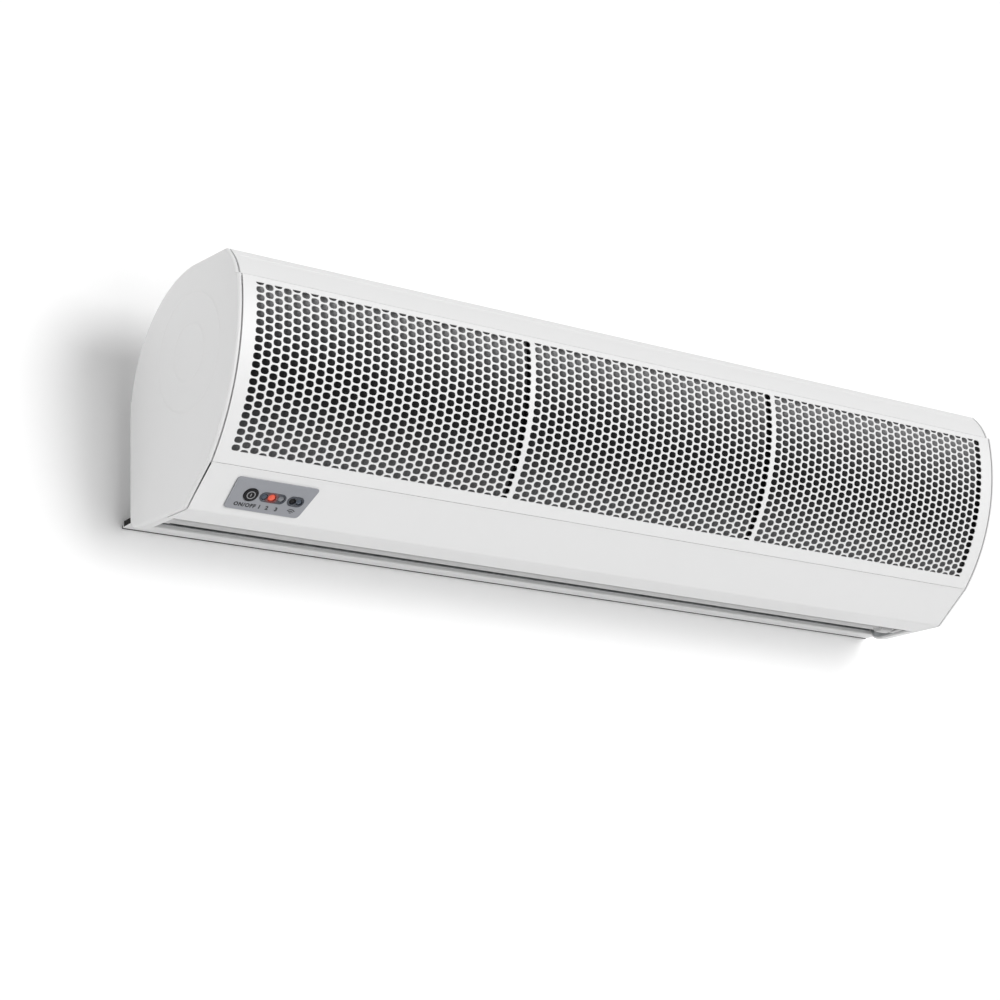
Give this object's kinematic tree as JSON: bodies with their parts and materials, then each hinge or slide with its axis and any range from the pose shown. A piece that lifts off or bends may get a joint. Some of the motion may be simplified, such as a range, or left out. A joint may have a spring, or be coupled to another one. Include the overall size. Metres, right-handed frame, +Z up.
{
  "type": "air curtain",
  "caption": "Wall-mounted air curtain with a curved perforated front over dust screens, rounded end caps, twin cross-flow fan wheels and a tilting outlet vane.",
  "frame": {"origin": "on the back of the wall bracket, where it meets the wall, half way along the length", "axes": "+X along the length towards the right end cap, +Y into the wall, +Z up"},
  "size_m": [0.895, 0.2039, 0.2109],
  "materials": {
    "white_paint": "satin powder coat",
    "white_plastic": "fine satin mould texture",
    "galvanised": "zinc coated sheet",
    "dark_steel": "ground",
    "black_plastic": "satin",
    "grey_overlay": "printed film, satin",
    "rubber": "matt",
    "smoked_plastic": "gloss, tinted",
    "board_green": "solder mask",
    "signal_red": "lit lens",
    "motor_paint": "satin",
    "bronze": "sintered"
  },
  "bodies": {
    "chassis": {"left_end_cap": "white_plastic", "right_end_cap": "white_plastic", "top_trim": "white_paint", "top_cover": "white_paint", "cable_grommet": "rubber", "front_grille": "white_paint", "grille_rib_left": "black_plastic", "grille_rib_right": "black_plastic", "dust_screen_left": "black_plastic", "dust_screen_middle": "black_plastic", "dust_screen_right": "black_plastic", "lower_front_panel": "white_paint", "control_overlay": "grey_overlay", "led_window": "smoked_plastic", "receiver_window": "smoked_plastic", "status_led_1": "smoked_plastic", "status_led_2": "signal_red", "status_led_3": "smoked_plastic", "ir_receiver": "black_plastic", "tact_switch": "black_plastic", "display_board": "board_green", "board_housing": "black_plastic", "electrics_tray": "galvanised", "terminal_block": "black_plastic", "relay_board": "board_green", "run_capacitor": "black_plastic", "left_side_plate": "galvanised", "right_side_plate": "galvanised", "left_bearing_bush": "rubber", "right_bearing_bush": "rubber", "left_bearing": "bronze", "right_bearing": "bronze", "rear_scroll": "galvanised", "front_duct_wall": "galvanised", "rear_panel": "white_paint", "wall_bracket": "galvanised", "left_hanger": "galvanised", "right_hanger": "galvanised", "rear_screw_1": "dark_steel", "rear_screw_2": "dark_steel", "rear_screw_3": "dark_steel", "rear_screw_4": "dark_steel", "motor_body": "motor_paint", "motor_ring_left": "rubber", "motor_ring_right": "rubber", "motor_plate_left": "galvanised", "motor_plate_right": "galvanised", "left_vane_holder": "white_plastic", "right_vane_holder": "white_plastic"},
    "rotor": {"motor_shaft": "dark_steel", "left_hub": "rubber", "right_hub": "rubber", "left_stub_shaft": "dark_steel", "right_stub_shaft": "dark_steel", "left_impeller": "black_plastic", "right_impeller": "black_plastic"},
    "vane": {"outlet_vane": "white_plastic", "left_vane_pin": "dark_steel", "right_vane_pin": "dark_steel"},
    "power_key": {"power_button": "black_plastic"}
  },
  "joints": [
    {"name": "fan_spin", "type": "hinge", "parent": "chassis", "child": "rotor", "pos_m": [0, -0.095, 0.005], "axis": [1, 0, 0], "continuous": true},
    {"name": "vane_tilt", "type": "hinge", "parent": "chassis", "child": "vane", "pos_m": [0, -0.059, -0.094], "axis": [1, 0, 0], "range_deg": [-20, 80]},
    {"name": "power_press", "type": "slide", "parent": "chassis", "child": "power_key", "axis": [0, 0.5848, 0.8112], "range_m": [0, 0.0012], "stiffness_N_per_m": 800, "springref_m": -0.0005}
  ]
}
